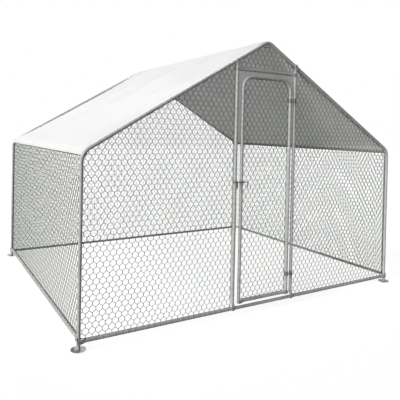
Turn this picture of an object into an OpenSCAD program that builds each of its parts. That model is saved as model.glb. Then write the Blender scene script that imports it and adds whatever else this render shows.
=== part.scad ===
// Walk-in poultry run: bolted tube frame, wire-net walls, hinged door and stretched roof cover.
// Millimetres. +Z is up, -Y is the door side, the origin is on the ground under the middle of the run.

/* [Run] */
// Width over the corner posts
run_w = 3000; // [2400:10:3600]
// Depth over the corner posts
run_d = 2500; // [1600:10:3200]
// Height where the post and rafter centre lines would meet
eave_h = 1265; // [1100:5:1500]
// Height where the two rafter centre lines would meet
ridge_h = 2135; // [2050:5:2500]

/* [Tubes] */
// Outside diameter of the frame tubes
tube_d = 25; // [22:0.5:30]
// Wall of the frame tubes
tube_wall = 1.2; // [0.8:0.1:2]
// Centre-line radius of the eave bends
eave_bend_r = 100; // [80:5:140]
// Centre-line radius of the apex bends
apex_bend_r = 70; // [50:5:120]
// Length of a rafter tube below its eave corner
eave_leg = 155; // [120:5:220]
// Distance from the middle to each end of an apex tube
apex_half_w = 410; // [360:5:520]
// Length of a swaged tube end
splice_len = 60; // [40:1:90]
// Radial play of a swaged end in the next tube
splice_play = 0.15; // [0.1:0.05:0.3]
// Gap between faces that meet
face_gap = 0.2; // [0.1:0.05:0.3]

/* [Flattened ends] */
// Length over which a round tube is pressed flat
crush_len = 26; // [20:1:34]
// Width of the flat
tab_w = 30; // [26:1:34]
// Distance from the start of the flat to its bolt hole
tab_reach = 18; // [16:1:24]

/* [Base] */
// Height of the front and back base rails
rail_h = 62; // [55:1:90]
// Height of the side base rails above the front one
side_rail_lift = 18; // [14:1:40]
// Diameter of a foot plate
foot_d = 98; // [70:1:140]
// Thickness of a foot plate
foot_t = 2.5; // [2:0.5:5]
// Length of the stake end below a foot plate
stake_len = 14; // [8:1:20]
// Length of the spigot that goes up into the post
spigot_len = 28; // [18:1:30]

/* [Door] */
// Distance between the door posts
doorway_w = 586; // [540:1:640]
// Drop from the latch bolt to the splice of each door post
splice_drop = 59; // [30:1:130]
// Drop from the top of the door posts to the header bar
header_drop = 69; // [61:1:120]
// Distance from the hinge-side post to the leaf tube
hinge_side = 48; // [44:1:60]
// Distance from the latch-side post to the leaf tube
latch_side = 58; // [54:1:70]
// Drop from the header bar to the leaf's top tube
leaf_top_drop = 50; // [43:1:115]
// Rise from the base rail to the leaf's bottom rail
leaf_bottom_rise = 47; // [44:1:68]
// Length of the leaf tube below the bottom rail's bolt
leaf_toe = 16; // [14:1:18]
// Centre-line radius of the leaf's top bends
leaf_bend_r = 95; // [70:5:130]

/* [Hinges] */
// Drop from the leaf's top tube to the upper hinge
upper_hinge_drop = 166; // [145:1:285]
// Rise from the leaf's bottom rail to the lower hinge
lower_hinge_rise = 148; // [101:1:221]
// Distance of the pin in front of the tubes' plane
pin_front = 22; // [20:0.5:26]
// Diameter of a hinge pin
pin_d = 8; // [6:0.5:9]
// Radial play of a knuckle on its pin
pin_play = 0.05; // [0.03:0.01:0.08]
// Wall of a knuckle
knuckle_wall = 3; // [2:0.25:3.5]
// Height of a hinge band
band_h = 36; // [30:1:44]
// Thickness of a band round a tube
band_t = 2.5; // [2:0.25:3]
// Radial play of a band on its tube
band_play = 0.1; // [0.05:0.05:0.2]
// Thickness of the arm from a band to its knuckle
arm_t = 5; // [4:0.5:6]
// Height of the leaf's knuckle
leaf_knuckle_h = 14; // [12:1:16]

/* [Latch] */
// Height of the latch bolt
latch_h = 1032; // [1005:1:1120]
// Diameter of the latch bolt
bolt_rod_d = 8; // [7:0.5:9]
// Radial play of the latch bolt in its guide
rod_play = 0.3; // [0.3:0.05:0.5]
// Distance of the latch bolt in front of the tubes' plane
rod_front = 21; // [21:0.5:24]
// Length of the guide
guide_len = 26; // [22:1:28]
// Wall of the guide
guide_wall = 3; // [2.5:0.25:3]
// Travel of the latch bolt
rod_travel = 22; // [20:1:24]
// Gap between the drawn bolt's tip and its keeper
tip_gap = 2; // [1.5:0.5:3]
// Length of the bolt's turned-down handle
handle_len = 44; // [30:1:60]
// Bend radius of the handle
handle_bend_r = 9; // [8:0.5:12]
// Width of the keeper
keeper_w = 16; // [12:1:18]
// Play of the bolt in its keeper
keeper_play = 1; // [0.8:0.1:1.2]
// Thickness of the keeper's staple
keeper_t = 3; // [2.5:0.25:4]
// Length of the keeper's padlock tongue
tongue_len = 40; // [30:1:60]
// Width of the padlock tongue
tongue_w = 13; // [12:1:16]
// Diameter of the padlock hole
padlock_d = 7; // [5:0.5:8]

/* [Nets] */
// Width of a mesh of the netting
net_cell = 275; // [240:5:340]
// Width of a mesh of the door's netting
door_cell = 180; // [150:5:240]
// Width of a strand of the netting
net_wire = 6; // [5:0.5:10]
// Thickness of the netting
net_t = 2; // [1.5:0.25:3]
// Gap between the netting and the tubes
net_gap = 0.3; // [0.2:0.05:0.3]
// Distance of a net's edge from the tube axis
net_inset = 8; // [7.5:0.5:10]
// Width of a net's edge strip
net_border = 6; // [5:0.5:10]
// Extra cut of a net's corner below a purlin
net_corner = 34; // [30:1:60]

/* [Cover] */
// Thickness of the roof cover
cover_t = 2; // [1.5:0.25:3]
// Gap between the cover and the tubes
cover_gap = 0.25; // [0.2:0.05:0.3]
// Angle that the cover goes on round each eave past the purlin
cover_wrap = 6; // [0:1:10]

/* [Fasteners] */
// Diameter of a bolt
bolt_d = 6; // [5:0.5:7]
// Play of a bolt's hole
hole_play = 0.4; // [0.3:0.05:0.6]
// Width across the flats of a bolt head or nut
head_af = 10; // [9:0.5:11]
// Height of a bolt head
head_h = 4; // [3:0.25:4.5]
// Height of a nut
nut_h = 5; // [4:0.25:5.5]
// Diameter of a purlin screw
screw_d = 5; // [4:0.5:5.5]
// Length of a purlin screw inside the arch tube
screw_bite = 5; // [4:0.5:7]

/* [Hidden] */
$fn = 48;
steel = "#aeb3b4";
wire_grey = "#8b918f";
zinc = "#c3c7c8";
sheet_white = "#f1f1ee";

tube_r = tube_d / 2;
bore_r = tube_r - tube_wall;
male_r = bore_r - splice_play;
male_bore_r = male_r - tube_wall;
shoulder_t = 3;
lap = 2;
over = 1;
step_in = 0.2;
bead = 0.05;

post_x = run_w / 2 - tube_r;
post_y = run_d / 2 - tube_r;
rise = ridge_h - eave_h;
slope = atan2(rise, post_x);
turn = 90 - slope;
eave_tan = eave_bend_r * tan(turn / 2);
apex_tan = apex_bend_r * tan(slope);
rafter_len = norm([post_x, rise]);
rafter_split = (post_x - apex_half_w) / cos(slope);
apex_leg = rafter_len - rafter_split - apex_tan;
apex_drop = apex_bend_r * (1 / cos(slope) - 1);

// The middle of an eave bend, where the eave purlin lies
bend_mid = 180 - turn / 2;
purlin_x = post_x - eave_bend_r - eave_bend_r * cos(bend_mid);
purlin_z = eave_h - eave_tan + eave_bend_r * sin(bend_mid);
ridge_z = ridge_h - apex_drop;

tab_t = 2 * tube_wall;
tab_seat = tube_r + face_gap;
end_len = crush_len + tab_reach;
side_rail_h = rail_h + side_rail_lift;
foot_top = stake_len + foot_t;

// A flat tab under a bend rests on its two edges, so it lies lower by the bend's sagitta
eave_in_r = eave_bend_r - tube_r;
apex_in_r = apex_bend_r - tube_r;
eave_sag = eave_in_r - sqrt(eave_in_r * eave_in_r - tab_w * tab_w / 4);
apex_sag = apex_in_r - sqrt(apex_in_r * apex_in_r - tab_w * tab_w / 4);

hole_r = bolt_d / 2 + hole_play / 2;
screw_r = screw_d / 2;
head_r = head_af / sqrt(3);
screw_head_r = head_r * 0.8;

door_x = doorway_w / 2;
door_top_z = ridge_h - door_x * tan(slope);
header_h = door_top_z - header_drop;
leaf_top_h = header_h - leaf_top_drop;
leaf_bottom_h = rail_h + leaf_bottom_rise;
upper_hinge_h = leaf_top_h - upper_hinge_drop;
lower_hinge_h = leaf_bottom_h + lower_hinge_rise;
post_splice_h = latch_h - splice_drop;
stile_left = -door_x + latch_side;
stile_right = door_x - hinge_side;
leaf_w = stile_right - stile_left;

pin_x = door_x - hinge_side / 2;
pin_y = -post_y - pin_front;
pin_r = pin_d / 2;
knuckle_r = pin_r + knuckle_wall;
arm_len = norm([hinge_side / 2, pin_front]);
arm_turn = atan2(pin_front, hinge_side / 2);
knuckle_gap = 1;
pin_head_h = 3;
pin_head_r = pin_r + 2;
pin_tail = 3;

rod_r = bolt_rod_d / 2;
rod_y = -post_y - rod_front;
guide_r = rod_r + rod_play + guide_wall;
tip_x = -door_x + keeper_w / 2 + tip_gap;
handle_x = stile_left + guide_len / 2 + rod_travel + handle_bend_r + lap;
latch_band_h = 2 * guide_r;
keeper_in = rod_r + keeper_play;

// A net lies on the inner side of the tubes, its edge just clear of them, or of the bands on a door tube
net_plane = sqrt(pow(tube_r + net_gap, 2) - net_inset * net_inset);
band_r = tube_r + band_play + band_t;
band_clear = sqrt(pow(band_r + net_gap, 2) - net_plane * net_plane) - net_inset;
side_net_y = post_y - net_plane - net_t - lap;
net_corner_at = eave_tan + net_corner;
apex_cut_z = ridge_z - tube_r - apex_sag - face_gap - tab_t - head_h - 2 * lap;
hex_keep = 0.46;
hex_start = 0.37;

cover_in = tube_r + cover_gap;
cover_steps = 10;

// Plain tube along +Z, open at both ends
module tube(len) {
    difference() {
        cylinder(r = tube_r, h = len);
        translate([0, 0, -over])
            cylinder(r = bore_r, h = len + 2 * over);
    }
}

// Swaged end that goes on from a tube's end along +Z, with its shoulder inside the tube
module swage() {
    difference() {
        union() {
            translate([0, 0, -shoulder_t])
                cylinder(r = bore_r + tube_wall / 2, h = shoulder_t);
            translate([0, 0, -shoulder_t])
                cylinder(r = male_r, h = shoulder_t + splice_len);
        }
        translate([0, 0, -shoulder_t - over])
            cylinder(r = male_bore_r, h = shoulder_t + splice_len + 2 * over);
    }
}

// Tube end pressed flat on its -Y side, from the round end at z = 0 to the bolt hole at z = end_len
module flat_end(sag = 0) {
    tab_y = -tab_seat - sag - tab_t;
    hull() {
        translate([0, 0, -lap])
            cylinder(r = tube_r - step_in, h = lap, $fn = 32);
        translate([-tab_w / 2 + step_in, tab_y + step_in / 2, crush_len])
            cube([tab_w - 2 * step_in, tab_t - step_in, over]);
    }
    translate([0, tab_y + tab_t, end_len])
        rotate([90, 0, 0])
            linear_extrude(height = tab_t)
                difference() {
                    union() {
                        circle(d = tab_w);
                        translate([-tab_w / 2, -tab_reach])
                            square([tab_w, tab_reach]);
                    }
                    circle(r = hole_r);
                }
}

// Rail from its splice at z = 0 to the bolt at z = len, with a swaged end below the splice if male
module half_rail(len, male, sag = 0) {
    body = len - end_len - face_gap / 2;
    translate([0, 0, face_gap / 2])
        tube(body);
    translate([0, 0, face_gap / 2 + body])
        flat_end(sag);
    if (male) {
        translate([0, 0, face_gap / 2])
            mirror([0, 0, 1])
                swage();
    }
}

// Rail flattened at both ends, between bolts at z = 0 and z = len
module full_rail(len) {
    body = len - 2 * end_len;
    translate([0, 0, end_len])
        tube(body);
    translate([0, 0, len - end_len])
        flat_end();
    translate([0, 0, end_len])
        mirror([0, 0, 1])
            flat_end();
}

module corner_post() {
    low = foot_top + face_gap;
    high = eave_h - eave_leg - face_gap;
    color(steel)
        difference() {
            translate([0, 0, low])
                tube(high - low);
            translate([0, 0, rail_h])
                rotate([90, 0, 0])
                    cylinder(r = hole_r, h = 2 * tube_d, center = true);
            translate([0, 0, side_rail_h])
                rotate([0, 90, 0])
                    cylinder(r = hole_r, h = 2 * tube_d, center = true);
        }
}

// Straight length along +Z after a bend, with the bead that the bending die leaves at its start
module after_bend(r, len) {
    cylinder(r = r, h = len);
    translate([0, 0, -over / 2])
        cylinder(r = r + bead, h = over);
}

// Leg, bend and slope of a left rafter tube, from the start of its bend
module rafter_path(r, leg, end_add) {
    mirror([0, 0, 1])
        after_bend(r, leg);
    translate([eave_bend_r, 0, 0])
        rotate([90, 0, 0])
            rotate([0, 0, 180 - turn])
                rotate_extrude(angle = turn)
                    translate([eave_bend_r, 0])
                        circle(r = r);
    translate([eave_bend_r, 0, 0])
        rotate([0, turn, 0])
            translate([-eave_bend_r, 0, 0])
                after_bend(r, rafter_split - eave_tan + end_add);
}

// Left rafter tube in the plane y = 0, drilled from inside the bend for the purlin's screw
module rafter() {
    leg = eave_leg - eave_tan;
    color(steel)
        translate([-post_x, 0, eave_h - eave_tan])
            difference() {
                union() {
                    difference() {
                        rafter_path(tube_r, leg, -face_gap);
                        rafter_path(bore_r, leg + over, over);
                    }
                    translate([0, 0, -leg])
                        mirror([0, 0, 1])
                            swage();
                }
                translate([eave_bend_r, 0, 0])
                    rotate([0, -turn / 2 - slope, 0])
                        translate([0, 0, eave_bend_r - tube_d])
                            cylinder(r = screw_r + hole_play / 2, h = tube_d);
            }
}

// Bend and two legs of an apex tube, from the centre of its bend
module apex_path(r, end_add) {
    rotate([90, 0, 0])
        rotate([0, 0, turn])
            rotate_extrude(angle = 2 * slope)
                translate([apex_bend_r, 0])
                    circle(r = r);
    for (side = [0, 1]) {
        mirror([side, 0, 0])
            rotate([0, slope, 0])
                translate([0, 0, apex_bend_r])
                    rotate([0, 90, 0])
                        after_bend(r, apex_leg + end_add);
    }
}

module apex_tube(door_holes) {
    color(steel)
        translate([0, 0, ridge_z - apex_bend_r])
            difference() {
                union() {
                    difference() {
                        apex_path(tube_r, 0);
                        apex_path(bore_r, over);
                    }
                    for (side = [0, 1]) {
                        mirror([side, 0, 0])
                            rotate([0, slope, 0])
                                translate([apex_leg, 0, apex_bend_r])
                                    rotate([0, 90, 0])
                                        swage();
                    }
                }
                cylinder(r = screw_r + hole_play / 2, h = apex_bend_r);
                if (door_holes) {
                    for (x = [-door_x, door_x]) {
                        translate([x, 0, door_top_z - ridge_z + apex_bend_r])
                            rotate([90, 0, 0])
                                cylinder(r = hole_r, h = 2 * tube_d, center = true);
                    }
                }
            }
}

// Left half of the front base rail; bolts of the door posts go through it
module front_rail(male) {
    color(steel)
        difference() {
            translate([0, -post_y, rail_h])
                rotate([0, -90, 0])
                    half_rail(post_x, male);
            translate([-door_x, -post_y, rail_h])
                rotate([90, 0, 0])
                    cylinder(r = hole_r, h = 2 * tube_d, center = true);
        }
}

module back_rail(male) {
    color(steel)
        mirror([0, 1, 0])
            translate([0, -post_y, rail_h])
                rotate([0, -90, 0])
                    half_rail(post_x, male);
}

// Front half of the right side's base rail
module side_rail(male) {
    color(steel)
        translate([post_x, 0, side_rail_h])
            rotate([0, 0, 90])
                rotate([0, -90, 0])
                    half_rail(post_y, male);
}

// Front half of the ridge purlin, with its flat under the arch
module ridge_purlin(male) {
    color(steel)
        translate([0, 0, ridge_z])
            rotate([90, 0, 0])
                half_rail(post_y, male, apex_sag);
}

// Front half of the right eave purlin, with its flat inside the bend
module eave_purlin(male) {
    color(steel)
        translate([purlin_x, 0, purlin_z])
            rotate([0, bend_mid - 90, 0])
                rotate([90, 0, 0])
                    half_rail(post_y, male, eave_sag);
}

module door_post_lower() {
    color(steel)
        translate([-door_x, -post_y, rail_h + end_len]) {
            tube(post_splice_h - rail_h - end_len - face_gap);
            mirror([0, 0, 1])
                flat_end();
        }
}

module door_post_upper() {
    body = door_top_z - post_splice_h - end_len;
    color(steel)
        translate([-door_x, -post_y, post_splice_h])
            difference() {
                union() {
                    tube(body);
                    translate([0, 0, body])
                        flat_end();
                    mirror([0, 0, 1])
                        swage();
                }
                translate([0, 0, header_h - post_splice_h])
                    rotate([90, 0, 0])
                        cylinder(r = hole_r, h = 2 * tube_d, center = true);
            }
}

module door_header() {
    color(steel)
        translate([-door_x, -post_y, header_h])
            rotate([0, 90, 0])
                full_rail(doorway_w);
}

// Foot plate with a stake end below and a spigot up into the post
module foot() {
    color(zinc) {
        cylinder(r = tube_r, h = foot_top);
        translate([0, 0, stake_len])
            cylinder(d = foot_d, h = foot_t);
        cylinder(r = male_r, h = foot_top + spigot_len);
    }
}

// Band round a tube with an arm that points along +X to a knuckle
module hinge_half(knuckles) {
    arm_from = band_r - band_t / 2;
    difference() {
        union() {
            translate([0, 0, -band_h / 2])
                cylinder(r = band_r, h = band_h);
            for (k = knuckles) {
                translate([arm_len, 0, k[0]])
                    cylinder(r = knuckle_r, h = k[1] - k[0]);
                translate([arm_from, -arm_t / 2, k[0]])
                    cube([arm_len - arm_from, arm_t, k[1] - k[0]]);
            }
        }
        translate([0, 0, -band_h])
            cylinder(r = tube_r + band_play, h = 2 * band_h);
        translate([arm_len, 0, -band_h])
            cylinder(r = pin_r + pin_play, h = 2 * band_h);
    }
}

module hinge_bracket(height) {
    inner = leaf_knuckle_h / 2 + knuckle_gap;
    color(zinc)
        translate([door_x, -post_y, height])
            rotate([0, 0, 180 + arm_turn])
                hinge_half([[-band_h / 2, -inner], [inner, band_h / 2]]);
}

module hinge_strap(height) {
    color(zinc)
        translate([stile_right, -post_y, height])
            rotate([0, 0, -arm_turn])
                hinge_half([[-leaf_knuckle_h / 2, leaf_knuckle_h / 2]]);
}

module hinge_pin(height) {
    color(zinc)
        translate([pin_x, pin_y, height]) {
            translate([0, 0, -band_h / 2 - pin_tail])
                cylinder(r = pin_r, h = band_h + pin_tail + face_gap + pin_head_h);
            translate([0, 0, band_h / 2 + face_gap])
                cylinder(r = pin_head_r, h = pin_head_h);
        }
}

// Band on the leaf's tube with the barrel that the latch bolt slides in
module latch_guide() {
    color(zinc)
        difference() {
            union() {
                translate([stile_left, -post_y, latch_h - latch_band_h / 2])
                    cylinder(r = band_r, h = latch_band_h);
                translate([stile_left - guide_len / 2, rod_y, latch_h])
                    rotate([0, 90, 0])
                        cylinder(r = guide_r, h = guide_len);
            }
            translate([stile_left, -post_y, latch_h - latch_band_h])
                cylinder(r = tube_r + band_play, h = 2 * latch_band_h);
            translate([stile_left - guide_len, rod_y, latch_h])
                rotate([0, 90, 0])
                    cylinder(r = rod_r + rod_play, h = 2 * guide_len);
        }
}

// Latch bolt drawn back, with its tail bent down into a handle
module latch_bolt() {
    color(zinc)
        translate([handle_x - handle_bend_r, rod_y, latch_h]) {
            translate([tip_x - handle_x + handle_bend_r, 0, 0])
                rotate([0, 90, 0])
                    cylinder(r = rod_r, h = handle_x - handle_bend_r - tip_x);
            translate([0, 0, -handle_bend_r])
                rotate([90, 0, 0])
                    rotate_extrude(angle = 90)
                        translate([handle_bend_r, 0])
                            circle(r = rod_r);
            translate([handle_bend_r, 0, -handle_len])
                cylinder(r = rod_r, h = handle_len - handle_bend_r);
        }
}

// Band on the door post with the staple that takes the bolt and a padlock tongue below it
module latch_keeper() {
    half_h = keeper_in + keeper_t;
    front = rod_front + keeper_in;
    color(zinc)
        translate([-door_x, -post_y, latch_h])
            difference() {
                union() {
                    translate([0, 0, -half_h])
                        cylinder(r = band_r, h = 2 * half_h);
                    translate([-keeper_w / 2, -front - keeper_t, -half_h])
                        cube([keeper_w, front + keeper_t - tube_r, 2 * half_h]);
                    translate([keeper_w / 2 - tongue_w, -front - keeper_t, -half_h - tongue_len])
                        cube([tongue_w, keeper_t, tongue_len + half_h]);
                }
                translate([0, 0, -2 * half_h])
                    cylinder(r = tube_r + band_play, h = 4 * half_h);
                translate([-keeper_w, -front, -keeper_in])
                    cube([2 * keeper_w, front - band_r, 2 * keeper_in]);
                translate([keeper_w / 2 - tongue_w / 2, -front, -half_h - tongue_len + padlock_d])
                    rotate([90, 0, 0])
                        cylinder(d = padlock_d, h = 3 * keeper_t, center = true);
            }
}

// Inverted U of the door leaf, in the plane of the door posts
module leaf_path(r, end_add) {
    stile = leaf_top_h - leaf_bend_r - leaf_bottom_h + leaf_toe;
    for (side = [0, 1]) {
        mirror([side, 0, 0]) {
            translate([leaf_w / 2, 0, -stile - end_add])
                cylinder(r = r, h = stile + end_add);
            translate([leaf_w / 2 - leaf_bend_r, 0, 0])
                rotate([90, 0, 0])
                    rotate_extrude(angle = 90)
                        translate([leaf_bend_r, 0])
                            circle(r = r);
        }
    }
    translate([-leaf_w / 2 + leaf_bend_r, 0, leaf_bend_r])
        rotate([0, 90, 0])
            cylinder(r = r, h = leaf_w - 2 * leaf_bend_r);
}

module leaf_tube() {
    color(steel)
        translate([(stile_left + stile_right) / 2, -post_y, leaf_top_h - leaf_bend_r])
            difference() {
                leaf_path(tube_r, 0);
                leaf_path(bore_r, over);
                for (x = [-leaf_w / 2, leaf_w / 2]) {
                    translate([x, 0, leaf_bottom_h - leaf_top_h + leaf_bend_r])
                        rotate([90, 0, 0])
                            cylinder(r = hole_r, h = 2 * tube_d, center = true);
                }
            }
}

module leaf_bottom_rail() {
    color(steel)
        translate([stile_left, -post_y, leaf_bottom_h])
            rotate([0, 90, 0])
                full_rail(leaf_w);
}

// Points of the rafter's centre line on the left, moved in by a distance
function on_rafter(at, in) = [
    -post_x + at * cos(slope) + in * sin(slope),
    eave_h + at * sin(slope) - in * cos(slope)
];

// Height under the left rafter's centre line at x, moved in by a distance
function under_rafter(x, in) = eave_h + (x + post_x) * tan(slope) - in / cos(slope);

// Half width of the net's top edge below the ridge purlin
function apex_half(in, top) = (ridge_h - in / cos(slope) - top) / tan(slope);

function front_panel(in) = [
    [-post_x + in, rail_h + in],
    [-door_x - in - band_clear, rail_h + in],
    [-door_x - in - band_clear, under_rafter(-door_x - in - band_clear, in)],
    on_rafter(net_corner_at + in, in),
    [-post_x + in, eave_h - net_corner_at - in]
];

function flip(points) = [for (i = [len(points) - 1 : -1 : 0]) [-points[i][0], points[i][1]]];

function roof_edge(in) = [
    on_rafter(net_corner_at + in, in),
    [-post_x + in, eave_h - net_corner_at - in]
];

function ridge_edge(in) = [
    [apex_half(in, apex_cut_z - in), apex_cut_z - in],
    [-apex_half(in, apex_cut_z - in), apex_cut_z - in]
];

function back_panel(in) = concat(
    [[-post_x + in, rail_h + in], [post_x - in, rail_h + in]],
    flip(roof_edge(in)),
    ridge_edge(in),
    roof_edge(in)
);

function gable_panel(in) = concat(
    [[-door_x + in, header_h + in], [door_x - in, header_h + in]],
    [[door_x - in, under_rafter(-door_x + in, in)]],
    ridge_edge(in),
    [[-door_x + in, under_rafter(-door_x + in, in)]]
);

// The top corners are cut back below the purlin's flattened ends
function side_top(in) = purlin_z - tube_r - net_gap - in + net_inset;

function side_panel(in) = [
    [-side_net_y + in - net_inset, side_rail_h + in],
    [side_net_y - in + net_inset, side_rail_h + in],
    [side_net_y - in + net_inset, side_top(in) - net_corner],
    [post_y - end_len - in + net_inset, side_top(in)],
    [-post_y + end_len + in - net_inset, side_top(in)],
    [-side_net_y + in - net_inset, side_top(in) - net_corner]
];

function leaf_corner(in) = [
    for (turned = [0 : 30 : 90])
        [
            leaf_w / 2 - leaf_bend_r + (leaf_bend_r - in - band_clear) * cos(turned),
            leaf_top_h - leaf_bend_r + (leaf_bend_r - in) * sin(turned)
        ]
];

function door_panel(in) = concat(
    [[-leaf_w / 2 + in + band_clear, leaf_bottom_h + in], [leaf_w / 2 - in - band_clear, leaf_bottom_h + in]],
    leaf_corner(in),
    flip(leaf_corner(in))
);

// Smallest distance from a point to the edges of a convex panel, negative outside
function edge_depth(p, panel) = min([
    for (i = [0 : len(panel) - 1])
        let (a = panel[i], b = panel[(i + 1) % len(panel)], d = b - a)
            (d[0] * (p[1] - a[1]) - d[1] * (p[0] - a[0])) / norm(d)
]);

// Centres of the meshes that reach far enough into a panel
function mesh_centres(panel, cell) =
    let (
        xs = [for (p = panel) p[0]],
        zs = [for (p = panel) p[1]],
        row = cell * sqrt(3) / 2
    ) [
        for (j = [0 : ceil((max(zs) - min(zs)) / row)])
            for (i = [0 : ceil((max(xs) - min(xs)) / cell)])
                let (p = [
                    min(xs) + (i + hex_start + (j % 2) / 2 - over / 2) * cell,
                    min(zs) + (j + hex_start) * row
                ])
                    if (edge_depth(p, panel) > -hex_keep * cell) p
    ];

// Sheet of hexagonal meshes with an edge strip, in the plane z = 0
module mesh(outer, inner, cell = net_cell) {
    color(wire_grey)
        linear_extrude(height = net_t)
            difference() {
                polygon(outer);
                intersection() {
                    polygon(inner);
                    union() {
                        for (p = mesh_centres(inner, cell)) {
                            translate(p)
                                rotate(30)
                                    circle(r = (cell - net_wire) / sqrt(3), $fn = 6);
                        }
                    }
                }
            }
}

// Net on the inside of the front gable
module front_mesh(outer, inner, cell = net_cell) {
    translate([0, -post_y + net_plane + net_t, 0])
        rotate([90, 0, 0])
            mesh(outer, inner, cell);
}

module front_left_net() {
    front_mesh(front_panel(net_inset), front_panel(net_inset + net_border));
}

module gable_net() {
    front_mesh(gable_panel(net_inset), gable_panel(net_inset + net_border));
}

module back_net() {
    mirror([0, 1, 0])
        front_mesh(back_panel(net_inset), back_panel(net_inset + net_border));
}

module right_net() {
    translate([post_x - net_plane - net_t, 0, 0])
        rotate([90, 0, 90])
            mesh(side_panel(net_inset), side_panel(net_inset + net_border));
}

module door_net() {
    translate([(stile_left + stile_right) / 2, 0, 0])
        front_mesh(door_panel(net_inset), door_panel(net_inset + net_border), door_cell);
}

// Left half of the cover's outline at a distance from the arch's centre line, from the eave up
function cover_side(out) = concat(
    [
        for (k = [0 : cover_steps])
            let (at = bend_mid + cover_wrap - k * (turn / 2 + cover_wrap) / cover_steps)
                [
                    -post_x + eave_bend_r + (eave_bend_r + out) * cos(at),
                    eave_h - eave_tan + (eave_bend_r + out) * sin(at)
                ]
    ],
    [
        for (k = [0 : cover_steps])
            let (at = 90 + slope - k * slope / cover_steps)
                [
                    (apex_bend_r + out) * cos(at),
                    ridge_z - apex_bend_r + (apex_bend_r + out) * sin(at)
                ]
    ]
);

function reversed(points) = [for (i = [len(points) - 1 : -1 : 0]) points[i]];

function tail(points) = [for (i = [1 : len(points) - 1]) points[i]];

function cover_line(out) = concat(cover_side(out), tail(flip(cover_side(out))));

module roof_cover() {
    color(sheet_white)
        translate([0, post_y, 0])
            rotate([90, 0, 0])
                linear_extrude(height = 2 * post_y)
                    polygon(concat(cover_line(cover_in + cover_t), reversed(cover_line(cover_in))));
}

// Bolt along +Y with its head in front of a flat at y = 0, through a flat and a tube
module bolt_and_head() {
    reach = tab_t + face_gap + tube_d + face_gap + nut_h + lap;
    rotate([-90, 0, 0]) {
        translate([0, 0, -head_h])
            cylinder(r = head_r, h = head_h, $fn = 6);
        translate([0, 0, -head_h / 2])
            cylinder(r = bolt_d / 2, h = reach + head_h / 2);
    }
}

module bolt_nut() {
    seat = tab_t + face_gap + tube_d + face_gap;
    translate([0, seat, 0])
        rotate([-90, 0, 0])
            difference() {
                cylinder(r = head_r, h = nut_h, $fn = 6);
                translate([0, 0, -over])
                    cylinder(r = bolt_d / 2 + hole_play / 4, h = nut_h + 2 * over);
            }
}

// Places a fastener on every bolted flat of the fixed frame
module at_frame_flats() {
    front = -post_y - tab_seat - tab_t;
    for (x = [-door_x, door_x]) {
        for (z = [rail_h, header_h, door_top_z]) {
            translate([x, front, z])
                children();
        }
    }
    for (x = [-post_x, post_x]) {
        translate([x, front, rail_h])
            children();
        mirror([0, 1, 0])
            translate([x, front, rail_h])
                children();
    }
    for (y = [-post_y, post_y]) {
        translate([post_x + tab_seat + tab_t, y, side_rail_h])
            rotate([0, 0, 90])
                children();
        mirror([1, 0, 0])
            translate([post_x + tab_seat + tab_t, y, side_rail_h])
                rotate([0, 0, 90])
                    children();
    }
}

module frame_bolts() {
    color(zinc)
        at_frame_flats()
            bolt_and_head();
}

module frame_nuts() {
    color(zinc)
        at_frame_flats()
            bolt_nut();
}

module leaf_bolts() {
    color(zinc)
        for (x = [stile_left, stile_right]) {
            translate([x, -post_y - tab_seat - tab_t, leaf_bottom_h]) {
                bolt_and_head();
                bolt_nut();
            }
        }
}

// Screw along +Z with its head under a flat at z = 0, into the bend above it
module purlin_screw(sag) {
    translate([0, 0, -head_h])
        cylinder(r = screw_head_r, h = head_h, $fn = 6);
    translate([0, 0, -head_h / 2])
        cylinder(r = screw_r, h = head_h / 2 + tab_t + sag + face_gap + tube_wall + screw_bite);
}

module purlin_screws() {
    color(zinc)
        for (back = [0, 1]) {
            mirror([0, back, 0]) {
                translate([0, -post_y, ridge_z - tab_seat - apex_sag - tab_t])
                    purlin_screw(apex_sag);
                for (left = [0, 1]) {
                    mirror([left, 0, 0])
                        translate([purlin_x, -post_y, purlin_z])
                            rotate([0, bend_mid - 90, 0])
                                translate([0, 0, -tab_seat - eave_sag - tab_t])
                                    purlin_screw(eave_sag);
                }
            }
        }
}

// Copies for the other corners, sides and ends
module to_right() {
    mirror([1, 0, 0])
        children();
}

module to_back() {
    mirror([0, 1, 0])
        children();
}

translate([-post_x, -post_y, 0]) corner_post();  // front_left_post
translate([post_x, -post_y, 0]) corner_post();  // front_right_post
translate([-post_x, post_y, 0]) corner_post();  // back_left_post
translate([post_x, post_y, 0]) corner_post();  // back_right_post
translate([0, -post_y, 0]) rafter();  // front_left_rafter
translate([0, -post_y, 0]) to_right() rafter();  // front_right_rafter
translate([0, post_y, 0]) rafter();  // back_left_rafter
translate([0, post_y, 0]) to_right() rafter();  // back_right_rafter
translate([0, -post_y, 0]) apex_tube(true);  // front_apex_tube
translate([0, post_y, 0]) apex_tube(false);  // back_apex_tube
front_rail(true);  // front_rail_left
to_right() front_rail(false);  // front_rail_right
back_rail(true);  // back_rail_left
to_right() back_rail(false);  // back_rail_right
to_right() side_rail(true);  // left_rail_front
to_right() to_back() side_rail(false);  // left_rail_back
side_rail(true);  // right_rail_front
to_back() side_rail(false);  // right_rail_back
ridge_purlin(true);  // ridge_purlin_front
to_back() ridge_purlin(false);  // ridge_purlin_back
to_right() eave_purlin(true);  // left_purlin_front
to_right() to_back() eave_purlin(false);  // left_purlin_back
eave_purlin(true);  // right_purlin_front
to_back() eave_purlin(false);  // right_purlin_back
door_post_lower();  // left_door_post_lower
door_post_upper();  // left_door_post_upper
to_right() door_post_lower();  // right_door_post_lower
to_right() door_post_upper();  // right_door_post_upper
door_header();
translate([-post_x, -post_y, 0]) foot();  // front_left_foot
translate([post_x, -post_y, 0]) foot();  // front_right_foot
translate([-post_x, post_y, 0]) foot();  // back_left_foot
translate([post_x, post_y, 0]) foot();  // back_right_foot
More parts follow.
